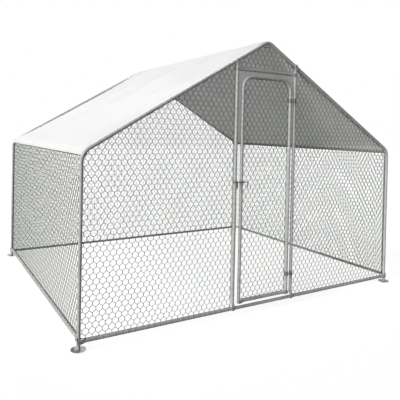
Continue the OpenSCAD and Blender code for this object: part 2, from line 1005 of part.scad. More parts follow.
hinge_bracket(upper_hinge_h);  // upper_hinge_bracket
hinge_bracket(lower_hinge_h);  // lower_hinge_bracket
hinge_pin(upper_hinge_h);  // upper_hinge_pin
hinge_pin(lower_hinge_h);  // lower_hinge_pin
latch_keeper();
front_left_net();
to_right() front_left_net();  // front_right_net
gable_net();
back_net();
to_right() right_net();  // left_net
right_net();
roof_cover();
frame_bolts();
frame_nuts();
purlin_screws();
leaf_tube();
leaf_bottom_rail();
door_net();
hinge_strap(upper_hinge_h);  // upper_hinge_strap
hinge_strap(lower_hinge_h);  // lower_hinge_strap
latch_guide();
leaf_bolts();
latch_bolt();
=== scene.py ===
"""Looks for a walk-in poultry run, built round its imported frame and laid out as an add-on."""

import math

import bpy
import numpy as np
from bpy.props import FloatProperty, FloatVectorProperty, PointerProperty
from mathutils import Matrix, Vector


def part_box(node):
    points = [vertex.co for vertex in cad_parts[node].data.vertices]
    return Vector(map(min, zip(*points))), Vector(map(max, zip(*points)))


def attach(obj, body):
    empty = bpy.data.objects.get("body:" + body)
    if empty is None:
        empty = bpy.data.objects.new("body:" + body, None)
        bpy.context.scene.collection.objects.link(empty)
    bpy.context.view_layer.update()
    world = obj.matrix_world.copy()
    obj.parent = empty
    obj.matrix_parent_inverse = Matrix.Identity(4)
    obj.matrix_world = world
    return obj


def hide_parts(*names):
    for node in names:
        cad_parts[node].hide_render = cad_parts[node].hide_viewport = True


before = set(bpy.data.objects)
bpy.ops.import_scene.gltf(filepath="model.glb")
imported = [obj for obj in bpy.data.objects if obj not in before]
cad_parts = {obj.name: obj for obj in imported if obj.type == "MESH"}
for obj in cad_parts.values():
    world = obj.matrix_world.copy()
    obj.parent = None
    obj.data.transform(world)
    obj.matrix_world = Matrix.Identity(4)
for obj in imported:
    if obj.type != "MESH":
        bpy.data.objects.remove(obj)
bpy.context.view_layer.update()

bl_info = {
    "name": "Walk-in Poultry Run",
    "version": (1, 0, 0),
    "blender": (4, 5, 0),
    "location": "3D View > Sidebar > Poultry Run",
    "description": "Nets, roof cover, metal finishes and studio stage for a packed poultry run",
    "category": "Object",
}

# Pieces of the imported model, by the finish that they carry
CORNERS = [f"{end}_{side}" for end in ("front", "back") for side in ("left", "right")]
PURLIN_NODES = [
    f"{line}_purlin_{end}" for line in ("ridge", "left", "right") for end in ("front", "back")
]
TUBE_NODES = (
    [f"{c}_{part}" for c in CORNERS for part in ("post", "rafter")]
    + ["front_apex_tube", "back_apex_tube"]
    + [f"{end}_rail_{side}" for end in ("front", "back") for side in ("left", "right")]
    + [f"{side}_rail_{end}" for side in ("left", "right") for end in ("front", "back")]
    + PURLIN_NODES
    + [f"{side}_door_post_{half}" for side in ("left", "right") for half in ("lower", "upper")]
    + ["door_header", "leaf_tube", "leaf_bottom_rail"]
)
FOOT_NODES = [f"{c}_foot" for c in CORNERS]
HINGE_NODES = [
    f"{level}_hinge_{part}" for level in ("upper", "lower") for part in ("bracket", "pin", "strap")
]
LATCH_NODES = ["latch_guide", "latch_bolt", "latch_keeper"]
FASTENER_NODES = ["frame_bolts", "frame_nuts", "purlin_screws", "leaf_bolts"]


def middle(node):
    """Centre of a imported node's box, in metres"""
    low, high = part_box(node)
    return (low + high) / 2


# Lines of the frame, in metres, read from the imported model
TUBE_R = (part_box("front_left_post")[1].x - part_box("front_left_post")[0].x) / 2
POST_X = middle("front_right_post").x
POST_Y = middle("back_left_post").y
RAIL_Z = middle("front_rail_left").z
SIDE_RAIL_Z = middle("left_rail_front").z
DOOR_X = middle("right_door_post_lower").x
HEADER_Z = middle("door_header").z
RIDGE_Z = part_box("front_apex_tube")[1].z - TUBE_R
STILE_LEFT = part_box("leaf_tube")[0].x + TUBE_R
STILE_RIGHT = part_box("leaf_tube")[1].x - TUBE_R
LEAF_TOP_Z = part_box("leaf_tube")[1].z - TUBE_R
LEAF_RAIL_Z = middle("leaf_bottom_rail").z
NET_Y = middle("front_left_net").y
NET_X = middle("left_net").x

# Bends of the frame's tubes, in metres: radii of their middle lines, and the heights at which the
# straight lines beside them would meet
EAVE_BEND = 0.100
APEX_BEND = 0.070
LEAF_BEND = 0.095
EAVE_Z = 1.265
PEAK_Z = 2.135
# Slope of the roof, and the left eave bend: its turn, tangent length and middle, then its centre
# and the purlin that meets its middle, each by distance to the side and height
SLOPE = math.atan2(PEAK_Z - EAVE_Z, POST_X)
EAVE_TURN = math.pi / 2 - SLOPE
EAVE_TAN = EAVE_BEND * math.tan(EAVE_TURN / 2)
EAVE_MID = math.pi - EAVE_TURN / 2
BEND_X = POST_X - EAVE_BEND
BEND_Z = EAVE_Z - EAVE_TAN
PURLIN_X = BEND_X - EAVE_BEND * math.cos(EAVE_MID)
PURLIN_Z = BEND_Z + EAVE_BEND * math.sin(EAVE_MID)


class MetalSettings(bpy.types.PropertyGroup):
    """Finish of the zinc-coated tubes, feet, hinges and fasteners"""

    colour: FloatVectorProperty(
        name="Zinc colour", description="Colour of the tubes' zinc coat",
        subtype="COLOR", size=3, min=0, max=1, default=(0.57, 0.58, 0.565),
    )
    spangle: FloatProperty(
        name="Spangle size", description="Size of the zinc crystals on a tube",
        default=0.011, min=0.003, max=0.05, unit="LENGTH",
    )
    roughness: FloatProperty(
        name="Roughness", description="Roughness of the zinc coat",
        default=0.42, min=0.1, max=0.9, subtype="FACTOR",
    )
    plate_colour: FloatVectorProperty(
        name="Plate colour", description="Colour of the foot plates",
        subtype="COLOR", size=3, min=0, max=1, default=(0.33, 0.335, 0.33),
    )
    # Darker than the tubes: partly the fittings' own colour, partly painted shade for the shadows
    # round them
    fitting_and_shade_colour: FloatVectorProperty(
        name="Fitting colour", description="Colour of the hinges, latch, bolts, nuts and screws",
        subtype="COLOR", size=3, min=0, max=1, default=(0.23, 0.234, 0.23),
    )


class NetSettings(bpy.types.PropertyGroup):
    """Hexagonal wire netting"""

    cell: FloatProperty(
        name="Mesh width", description="Distance between two twisted sides of a mesh",
        default=0.045, min=0.03, max=0.09, unit="LENGTH",
    )
    row: FloatProperty(
        name="Row pitch", description="Height from one row of meshes to the next",
        default=0.035, min=0.025, max=0.08, unit="LENGTH",
    )
    twist: FloatProperty(
        name="Twist length", description="Length of a twisted side",
        default=0.0182, min=0.01, max=0.04, unit="LENGTH",
    )
    wire: FloatProperty(
        name="Wire", description="Diameter of the netting wire",
        default=0.0039, min=0.001, max=0.005, unit="LENGTH",
    )
    lashing: FloatProperty(
        name="Lashing wire", description="Diameter of the wire ends wrapped round the tubes",
        default=0.0022, min=0.001, max=0.004, unit="LENGTH",
    )
    colour: FloatVectorProperty(
        name="Wire colour", description="Colour of the weathered wire",
        subtype="COLOR", size=3, min=0, max=1, default=(0.146, 0.18, 0.122),
    )


class CoverSettings(bpy.types.PropertyGroup):
    """Woven roof cover stretched over both slopes"""

    sag: FloatProperty(
        name="Sag", description="How far the middle of each slope hangs below the tubes",
        default=0.012, min=0, max=0.05, unit="LENGTH",
    )
    ripple: FloatProperty(
        name="Ripple", description="Height of the ripples that run down the slopes",
        default=0.0035, min=0, max=0.015, unit="LENGTH",
    )
    dip: FloatProperty(
        name="Dip",
        description="How far the cloth's edges dip where they are tied inside the gable tubes",
        default=0.027, min=0, max=0.04, unit="LENGTH",
    )
    clear: FloatProperty(
        name="Clear", description="Room that the cloth leaves for the lashings round the tubes",
        default=0.0035, min=0.001, max=0.01, unit="LENGTH",
    )
    side_gap: FloatProperty(
        name="Side gap",
        description="Gap between the cloth's edges and the sides of the gable tubes",
        default=0.0008, min=0.0005, max=0.01, unit="LENGTH",
    )
    tuck: FloatProperty(
        name="Tuck", description="How far the cloth's edges are tucked in beside the bends",
        default=0.0135, min=0, max=0.02, unit="LENGTH",
    )
    hem: FloatProperty(
        name="Hem", description="Width of the hem folded under at the front and back edges",
        default=0.030, min=0.01, max=0.08, unit="LENGTH",
    )
    eave_hem: FloatProperty(
        name="Eave hem", description="Width of the hem folded under at the eaves",
        default=0.008, min=0.004, max=0.01, unit="LENGTH",
    )
    fold: FloatProperty(
        name="Fold", description="Distance between the two layers of a hem",
        default=0.0016, min=0.001, max=0.004, unit="LENGTH",
    )
    colour: FloatVectorProperty(
        name="Cloth colour", description="Colour of the white cloth",
        subtype="COLOR", size=3, min=0, max=1, default=(0.98, 0.98, 0.975),
    )
    through: FloatProperty(
        name="Light through", description="Share of the light that the cloth lets through",
        default=0.125, min=0, max=0.5, subtype="FACTOR",
    )


class StageSettings(bpy.types.PropertyGroup):
    """Floor, lights and camera"""

    key: FloatProperty(
        name="Key light", description="Strength of the soft light from above on the left",
        default=1.45, min=0, max=10, subtype="UNSIGNED",
    )
    side: FloatProperty(
        name="Side light", description="Strength of the soft low light from the left",
        default=2.0, min=0, max=10, subtype="UNSIGNED",
    )
    back: FloatProperty(
        name="Back light", description="Strength of the soft light from behind on the right",
        default=1.6, min=0, max=10, subtype="UNSIGNED",
    )
    softness: FloatProperty(
        name="Softness", description="Apparent width of each light",
        default=math.radians(12), min=0, max=math.pi / 2, subtype="ANGLE",
    )
    fill: FloatProperty(
        name="Fill", description="Strength of the light from all round",
        default=0.045, min=0, max=2, subtype="UNSIGNED",
    )
    lens: FloatProperty(
        name="Focal length", description="Focal length of the camera in millimetres",
        default=41.5, min=10, max=200, unit="CAMERA",
    )
    floor_size: FloatProperty(
        name="Floor size", description="Length of the floor's sides",
        default=60.0, min=10, max=200, unit="LENGTH",
    )


# Meshes

# Lengths below this count as none
TINY = 1e-12
# Wires cut to less than this share at a panel's edge are left out
LEAST_WIRE = 0.04
# Widths of two wires twisted together and of a panel's edge, in wires
TWIST_WIDTH = 1.4
EDGE_WIDTH = 1.2
# A lashing: its turns round the tube, the points on its path, and in its own diameters the height
# of its middle line above the tube and its spread to each side
LASHING_TURNS = 1.08
LASHING_POINTS = 11
LASHING_SEAT = 0.45
LASHING_SPREAD = 0.8


def make_piece(name, points, faces, materials, smooth=True):
    """A new mesh object from arrays of points and a list of faces"""
    mesh = bpy.data.meshes.new(name)
    mesh.from_pydata([tuple(p) for p in points], [], faces)
    for material in materials:
        mesh.materials.append(material)
    mesh.polygons.foreach_set("use_smooth", [smooth] * len(mesh.polygons))
    mesh.update()
    piece = bpy.data.objects.new(name, mesh)
    bpy.context.scene.collection.objects.link(piece)
    return piece


def sweep(paths, radii, side, turns=None):
    """Closed rods along paths (count, steps, 3)

    The section is an oval of radii (across, along the normal) with four sides, or three where both
    radii are equal. It is set out from the direction side and turned by turns at each step.
    """
    paths = np.asarray(paths, float)
    count, steps, _ = paths.shape
    across, deep = radii
    corners = 3 if across == deep else 4
    turns = np.zeros(steps) if turns is None else np.asarray(turns, float)
    run = np.gradient(paths, axis=1)
    run /= np.linalg.norm(run, axis=2, keepdims=True) + TINY
    side = np.broadcast_to(np.asarray(side, float), paths.shape)
    first = np.cross(run, side)
    first /= np.linalg.norm(first, axis=2, keepdims=True) + TINY
    second = np.cross(first, run)
    at = 2 * np.pi * (np.arange(corners) + 0.5) / corners
    c, s = across * np.cos(at), deep * np.sin(at)
    ct, st = np.cos(turns)[:, None], np.sin(turns)[:, None]
    u, v = c * ct - s * st, c * st + s * ct
    ring = (
        paths[:, :, None]
        + u[None, :, :, None] * first[:, :, None]
        + v[None, :, :, None] * second[:, :, None]
    )
    number = np.arange(count * steps * corners).reshape(count, steps, corners)
    after = np.roll(number, -1, axis=2)
    quads = np.stack([number[:, :-1], after[:, :-1], after[:, 1:], number[:, 1:]], axis=-1)
    caps = np.concatenate([number[:, 0, ::-1], number[:, -1]])
    return ring.reshape(-1, 3), quads.reshape(-1, 4).tolist() + caps.tolist()


def join_parts(parts):
    """One list of points and one of faces from several"""
    points, faces, start = [], [], 0
    for some_points, some_faces in parts:
        points.append(some_points)
        faces += [[start + k for k in face] for face in some_faces]
        start += len(some_points)
    return np.concatenate(points), faces


def clip_to(outline, starts, ends):
    """The stretches of straight lines that lie inside a convex outline, given anticlockwise"""
    low, high = np.zeros(len(starts)), np.ones(len(starts))
    run = ends - starts
    for a, b in zip(outline, np.roll(outline, -1, axis=0)):
        inward = np.array([a[1] - b[1], b[0] - a[0]])
        rise, base = run @ inward, (starts - a) @ inward
        with np.errstate(divide="ignore", invalid="ignore"):
            cut = -base / rise
        low = np.where(rise > TINY, np.maximum(low, cut), low)
        high = np.where(rise < -TINY, np.minimum(high, cut), high)
        high = np.where((abs(rise) <= TINY) & (base < 0), -1.0, high)
    kept = high - low > LEAST_WIRE
    low, high = low[kept, None], high[kept, None]
    return starts[kept] + low * run[kept], starts[kept] + high * run[kept]


def netting_lines(outline, net):
    """Twisted sides and slanted wires of hexagonal meshes inside an outline"""
    low, high = outline.min(axis=0), outline.max(axis=0)
    columns = np.arange(math.floor(low[0] / net.cell) - 1, math.ceil(high[0] / net.cell) + 2)
    rows = np.arange(math.floor(low[1] / net.row) - 1, math.ceil(high[1] / net.row) + 2)
    column, row = (a.ravel() for a in np.meshgrid(columns, rows))
    foot = np.stack([(column + 0.5 * (row % 2)) * net.cell, row * net.row], axis=1)
    top = foot + [0, net.twist]
    rise = net.row - net.twist
    sides = clip_to(outline, foot, top)
    slants = [clip_to(outline, top, top + [s * net.cell / 2, rise]) for s in (-1, 1)]
    return sides, slants


def on_plane(flat, plane):
    """Points of a panel's plane, put into the frame: plane is (origin, along, up)"""
    origin, along, up = (np.asarray(a, float) for a in plane)
    return origin + flat[..., :1] * along + flat[..., 1:] * up


def net_parts(outline, plane, net):
    """Rods of one panel of netting with a straight wire along its edges"""
    normal = np.cross(plane[1], plane[2])
    sides, slants = netting_lines(outline, net)
    half = net.wire / 2
    share = np.array([0.0, 0.5, 1.0])
    twisted = sides[0][:, None] + share[None, :, None] * (sides[1] - sides[0])[:, None]
    twist_oval, edge_oval = (half * TWIST_WIDTH, half), (half * EDGE_WIDTH, half)
    parts = [sweep(on_plane(twisted, plane), twist_oval, normal, share * math.pi)]
    for starts, ends in slants:
        pair = np.stack([starts, ends], axis=1)
        parts.append(sweep(on_plane(pair, plane), (half, half), normal))
    edge = np.stack([outline, np.roll(outline, -1, axis=0)], axis=1)
    parts.append(sweep(on_plane(edge, plane), edge_oval, normal))
    return parts


def lashings(start, end, inward, net, clear=()):
    """Wire ends wrapped round a tube from start to end, one beside each mesh

    Each starts on the inward side. The heights in clear, pairs of (low, high), stay free of them.
    """
    start, end, inward = (np.asarray(a, float) for a in (start, end, inward))
    length = np.linalg.norm(end - start)
    run = (end - start) / length
    across = np.cross(run, inward)
    count = int(length / net.cell)
    places = (np.arange(count) + 0.5) * length / count
    for low, high in clear:
        z = start[2] + places * run[2]
        places = places[(z < low) | (z > high)]
    turn = np.linspace(0, 2 * math.pi * LASHING_TURNS, LASHING_POINTS)
    reach = TUBE_R + net.lashing * LASHING_SEAT
    loop = reach * (np.cos(turn)[:, None] * inward + np.sin(turn)[:, None] * across)
    sideways = np.linspace(-1, 1, LASHING_POINTS)[:, None]
    loop = loop + sideways * net.lashing * LASHING_SPREAD * run
    paths = start + places[:, None, None] * run + loop[None]
    return sweep(paths, (net.lashing / 2, net.lashing / 2), run)


# Materials

# Brightness of the darkest and lightest zinc crystals, and tone of the zinc's dull streaks
CRYSTAL_TONES = (0.88, 1.12)
DULL_TONE = (0.8, 0.8, 0.79)
# How much smoother and rougher than its mean a zinc coat gets
SMOOTHER, ROUGHER = 0.1, 0.14
# Places on the wire's cloudy pattern, and brightness there
WIRE_TONES = ((0.28, 0.72), (0.52, 1.0), (0.78, 1.5))
# Tone of cloth darkened by soil and by painted shade, and the height below the ridge over which the
# painted shade grows, in metres, with how much painted shade it adds at the ridge
SOIL_AND_SHADE_TONE = 0.84
RIDGE_SHADE_REACH = 0.5
RIDGE_SHADE = 0.45
# How strongly metal and cloth mirror what is round them
METAL_SPECULAR = 0.15
CLOTH_SPECULAR = 0.04
WHITE = (1, 1, 1, 1)


def new_material(name):
    """A material with one principled shader, its nodes and links"""
    material = bpy.data.materials.new(name)
    material.use_nodes = True
    tree = material.node_tree
    return material, tree, tree.nodes["Principled BSDF"]


def add_node(tree, kind, values=(), **settings):
    """A node of a kind with its settings and the values of its sockets"""
    node = tree.nodes.new(kind)
    for key, value in settings.items():
        setattr(node, key, value)
    for key, value in dict(values).items():
        node.inputs[key].default_value = value
    return node


def object_places(tree):
    """Object coordinates"""
    return add_node(tree, "ShaderNodeTexCoord").outputs["Object"]


def colour_steps(tree, value, steps):
    """A colour ramp over a value: steps are (position, colour)"""
    ramp = add_node(tree, "ShaderNodeValToRGB")
    stops = ramp.color_ramp.elements
    while len(stops) < len(steps):
        stops.new(0.5)
    for stop, (position, colour) in zip(stops, steps):
        stop.position = position
        stop.color = (*colour, 1)
    tree.links.new(value, ramp.inputs["Fac"])
    return ramp.outputs["Color"]


def spread(tree, value, low, high):
    """A value from 0 to 1, spread from low to high"""
    span = add_node(tree, "ShaderNodeMapRange", {"To Min": low, "To Max": high})
    tree.links.new(value, span.inputs["Value"])
    return span.outputs["Result"]


def add_bump(tree, shader, height, strength, distance):
    """Bump from a height, into a shader's normal"""
    bump = add_node(tree, "ShaderNodeBump", {"Strength": strength, "Distance": distance})
    tree.links.new(height, bump.inputs["Height"])
    tree.links.new(bump.outputs["Normal"], shader.inputs["Normal"])


def shade(colour, factor):
    """A colour times a factor, no brighter than white"""
    return tuple(min(1.0, c * factor) for c in colour)


def zinc_finish(name, colour, spangle, roughness, metallic):
    """Zinc-coated steel: crystals of slightly different grey, dull streaks and uneven gloss"""
    material, tree, shader = new_material(name)
    places = object_places(tree)
    crystals = add_node(tree, "ShaderNodeTexVoronoi", {"Scale": 1 / spangle, "Randomness": 1.0})
    clouds = add_node(tree, "ShaderNodeTexNoise", {"Scale": 9.0, "Detail": 6.0, "Roughness": 0.6})
    grit = add_node(tree, "ShaderNodeTexNoise", {"Scale": 420.0, "Detail": 3.0})
    for texture in (crystals, clouds, grit):
        tree.links.new(places, texture.inputs["Vector"])
    grains = add_node(tree, "ShaderNodeSeparateColor")
    tree.links.new(crystals.outputs["Color"], grains.inputs["Color"])
    darkest, lightest = (shade(colour, tone) for tone in CRYSTAL_TONES)
    grain = colour_steps(tree, grains.outputs["Red"], [(0.0, darkest), (1.0, lightest)])
    dull = colour_steps(tree, clouds.outputs["Fac"], [(0.3, DULL_TONE), (0.7, WHITE[:3])])
    mix = add_node(tree, "ShaderNodeMix", data_type="RGBA", blend_type="MULTIPLY")
    mix.inputs["Factor"].default_value = 1.0
    tree.links.new(grain, mix.inputs["A"])
    tree.links.new(dull, mix.inputs["B"])
    tree.links.new(mix.outputs["Result"], shader.inputs["Base Color"])
    gloss = spread(tree, clouds.outputs["Fac"], roughness - SMOOTHER, roughness + ROUGHER)
    tree.links.new(gloss, shader.inputs["Roughness"])
    shader.inputs["Metallic"].default_value = metallic
    shader.inputs["Specular IOR Level"].default_value = METAL_SPECULAR
    add_bump(tree, shader, grit.outputs["Fac"], strength=0.12, distance=0.0004)
    return material


def wire_finish(colour):
    """Weathered netting wire: dark zinc with lighter rubbed spots"""
    material, tree, shader = new_material("netting_wire")
    pattern = {"Scale": 14.0, "Detail": 5.0, "Roughness": 0.65}
    clouds = add_node(tree, "ShaderNodeTexNoise", pattern)
    tree.links.new(object_places(tree), clouds.inputs["Vector"])
    steps = [(place, shade(colour, tone)) for place, tone in WIRE_TONES]
    tone = colour_steps(tree, clouds.outputs["Fac"], steps)
    tree.links.new(tone, shader.inputs["Base Color"])
    gloss = spread(tree, clouds.outputs["Fac"], low=0.4, high=0.62)
    tree.links.new(gloss, shader.inputs["Roughness"])
    shader.inputs["Specular IOR Level"].default_value = METAL_SPECULAR
    return material


def cloth_finish(colour, through):
    """Woven coated cloth: crossed tapes, cloudy soil, painted shade near the ridge, a dull sheen
    and some light through it
    """
    material, tree, shader = new_material("cover_cloth")
    places = object_places(tree)
    tapes = {"Scale": 95.0, "Distortion": 0.35, "Detail": 1.0}
    warp, weft = (
        add_node(tree, "ShaderNodeTexWave", tapes, wave_type="BANDS", bands_direction=way)
        for way in ("X", "Y")
    )
    clouds = {"Scale": 1.7, "Detail": 7.0, "Roughness": 0.62}
    soil = add_node(tree, "ShaderNodeTexNoise", clouds)
    for texture in (warp, weft, soil):
        tree.links.new(places, texture.inputs["Vector"])
    height = add_node(tree, "ShaderNodeSeparateXYZ")
    tree.links.new(places, height.inputs["Vector"])
    # Painted shade: the cloth gets darker towards the ridge, as its height is taken off the cloudy
    # soil's value
    heights = {"From Min": RIDGE_Z - RIDGE_SHADE_REACH, "From Max": RIDGE_Z}
    ridge = add_node(
        tree, "ShaderNodeMapRange", {**heights, "To Min": 0.0, "To Max": RIDGE_SHADE}
    )
    tree.links.new(height.outputs["Z"], ridge.inputs["Value"])
    soil_and_ridge_shade = add_node(tree, "ShaderNodeMath", operation="SUBTRACT")
    tree.links.new(soil.outputs["Fac"], soil_and_ridge_shade.inputs[0])
    tree.links.new(ridge.outputs["Result"], soil_and_ridge_shade.inputs[1])
    # The darker stop carries both the cloudy soil and the painted shade near the ridge
    steps = [(0.02, shade(colour, SOIL_AND_SHADE_TONE)), (0.5, colour)]
    tone = colour_steps(tree, soil_and_ridge_shade.outputs["Value"], steps)
    tree.links.new(tone, shader.inputs["Base Color"])
    gloss = spread(tree, soil.outputs["Fac"], low=0.72, high=0.9)
    tree.links.new(gloss, shader.inputs["Roughness"])
    weave = add_node(tree, "ShaderNodeMath", operation="MAXIMUM")
    tree.links.new(warp.outputs["Fac"], weave.inputs[0])
    tree.links.new(weft.outputs["Fac"], weave.inputs[1])
    add_bump(tree, shader, weave.outputs["Value"], strength=0.5, distance=0.0006)
    shader.inputs["Specular IOR Level"].default_value = CLOTH_SPECULAR
    lit_through = add_node(tree, "ShaderNodeBsdfTranslucent")
    tree.links.new(tone, lit_through.inputs["Color"])
    both = add_node(tree, "ShaderNodeMixShader", {"Fac": through})
    tree.links.new(shader.outputs["BSDF"], both.inputs[1])
    tree.links.new(lit_through.outputs["BSDF"], both.inputs[2])
    tree.links.new(both.outputs["Shader"], tree.nodes["Material Output"].inputs["Surface"])
    return material


def set_finish(nodes, material):
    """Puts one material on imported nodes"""
    for name in nodes:
        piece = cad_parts[name]
        piece.data.materials.clear()
        piece.data.materials.append(material)


# Panels of netting, in metres

# How far a net's edge lies inside the middle line of a plain tube, and of one with bands round it
EDGE = 0.0095
BAND_EDGE = 0.0135
# Drop from an apex tube's middle line to the flat top of a gable's net
APEX_DROP = 0.031
# Gaps of a side net to the end nets and its purlin, and the corner cut off below each eave bend
END_GAP = 0.006
PURLIN_GAP = 0.002
CORNER_CUT = 0.034
# Lengths of tube without lashings beside a hinge or latch band, and at a splice or a bolted end
BAND_GAP = 0.006
SPLICE_GAP = 0.09
# Shares of a rafter, from its eave purlin to the ridge, between which the lashings lie
FIRST_SHARE = 0.06
FRONT_LAST_SHARE = 0.79
BACK_LAST_SHARE = 0.95
# Points round a bend of a panel's edge
EAVE_CORNERS = 7
LEAF_CORNERS = 6

# Directions of the frame's axes
X, Y, Z = np.eye(3)


def arc(x, z, reach, turns):
    """Points of a bend about (x, z)"""
    return [(x + reach * math.cos(a), z + reach * math.sin(a)) for a in turns]


def rafter_line(drop):
    """Points from the left post round the eave bend, drop below the tubes' middle line"""
    turns = np.linspace(math.pi, math.pi / 2 + SLOPE, EAVE_CORNERS)
    return arc(-BEND_X, BEND_Z, EAVE_BEND - drop, turns)


def rafter_height(x, drop):
    """Height of the line under a rafter at a distance x from the middle"""
    return PEAK_Z - drop / math.cos(SLOPE) - abs(x) * math.tan(SLOPE)


def apex_corner():
    """Right end of the flat top of a gable's net"""
    top = RIDGE_Z - APEX_DROP
    return (rafter_height(0, EDGE) - top) / math.tan(SLOPE), top


def front_outline():
    """Left front panel, from corner post to door post, anticlockwise from its lower left corner"""
    low, right = RAIL_Z + EDGE, -DOOR_X - BAND_EDGE
    base = [(-POST_X + EDGE, low), (right, low), (right, rafter_height(right, EDGE))]
    return np.array([*base, *rafter_line(EDGE)[::-1]])


def back_outline():
    """Whole back gable"""
    left = rafter_line(EDGE)
    right = [(-x, z) for x, z in left]
    half, top = apex_corner()
    base = [(-POST_X + EDGE, RAIL_Z + EDGE), (POST_X - EDGE, RAIL_Z + EDGE)]
    return np.array([*base, *right, (half, top), (-half, top), *left[::-1]])


def gable_outline():
    """Panel between the header, the door posts and the ridge"""
    low, side = HEADER_Z + EDGE, DOOR_X - BAND_EDGE
    eave = rafter_height(side, EDGE)
    half, top = apex_corner()
    right = [(side, low), (side, eave), (half, top)]
    return np.array([(-side, low), *right, (-half, top), (-side, eave)])


def side_outline():
    """Side panel between its posts, base rail and eave purlin"""
    end = POST_Y - EDGE - END_GAP
    low, top = SIDE_RAIL_Z + EDGE, PURLIN_Z - TUBE_R - PURLIN_GAP
    right = [(end, low), (end, top - CORNER_CUT), (end - CORNER_CUT, top)]
    left = [(-end + CORNER_CUT, top), (-end, top - CORNER_CUT)]
    return np.array([(-end, low), *right, *left])


def door_outline():
    """Panel of the leaf, round at its top corners"""
    low = LEAF_RAIL_Z + EDGE
    base = [(STILE_LEFT + BAND_EDGE, low), (STILE_RIGHT - BAND_EDGE, low)]
    turns = np.linspace(0, math.pi / 2, LEAF_CORNERS)
    corner = arc(0.0, LEAF_TOP_Z - LEAF_BEND, LEAF_BEND - BAND_EDGE, turns)
    right = [(STILE_RIGHT - LEAF_BEND + x, z) for x, z in corner]
    left = [(STILE_LEFT + LEAF_BEND - x, z) for x, z in corner[::-1]]
    return np.array([*base, *right, *left])


def rafter_run(y, side, low_share, high_share):
    """Two points on a rafter's middle line, side -1 left and 1 right"""
    def at(share):
        x = PURLIN_X * (1 - share)
        return np.array([side * x, y, PEAK_Z - x * math.tan(SLOPE)])
    return at(low_share), at(high_share)


def band_heights(*nodes):
    """Heights that hinge and latch bands take up on a tube"""
    boxes = [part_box(n) for n in nodes]
    return [(low.z - BAND_GAP, high.z + BAND_GAP) for low, high in boxes]


class RUN_OT_finish_tubes(bpy.types.Operator):
    """Gives the bent and straight tubes their zinc coat"""

    bl_idname = "poultry_run.finish_tubes"
    bl_label = "Finish Tubes"

    def execute(self, context):
        metal = context.scene.run_metal
        zinc = zinc_finish(
            "zinc_tube", tuple(metal.colour), metal.spangle, metal.roughness, metallic=0.1
        )
        set_finish(TUBE_NODES, zinc)
        return {"FINISHED"}


class RUN_OT_finish_feet(bpy.types.Operator):
    """Gives the foot plates their smooth zinc coat"""

    bl_idname = "poultry_run.finish_feet"
    bl_label = "Finish Feet"

    def execute(self, context):
        metal = context.scene.run_metal
        plate = zinc_finish(
            "zinc_foot", tuple(metal.plate_colour), metal.spangle, roughness=0.40, metallic=0.3
        )
        set_finish(FOOT_NODES, plate)
        return {"FINISHED"}


class RUN_OT_finish_hinges(bpy.types.Operator):
    """Gives the hinges and the latch a darker zinc coat, its darkness partly painted shade"""

    bl_idname = "poultry_run.finish_hinges"
    bl_label = "Finish Hinges and Latch"

    def execute(self, context):
        metal = context.scene.run_metal
        crystal = metal.spangle * 0.6
        # The fitting colour's darkness is partly painted shade
        dark = zinc_finish(
            "zinc_hinge", tuple(metal.fitting_and_shade_colour), crystal, roughness=0.38, metallic=0.2
        )
        set_finish(HINGE_NODES + LATCH_NODES, dark)
        return {"FINISHED"}


class RUN_OT_finish_fasteners(bpy.types.Operator):
    """Gives the bolts, nuts and screws a darker zinc coat, its darkness partly painted shade"""

    bl_idname = "poultry_run.finish_fasteners"
    bl_label = "Finish Fasteners"

    def execute(self, context):
        metal = context.scene.run_metal
        crystal = metal.spangle * 0.4
        # The fitting colour's darkness is partly painted shade
        dark = zinc_finish(
            "zinc_fastener", tuple(metal.fitting_and_shade_colour), crystal, roughness=0.3, metallic=0.4
        )
        set_finish(FASTENER_NODES, dark)
        return {"FINISHED"}


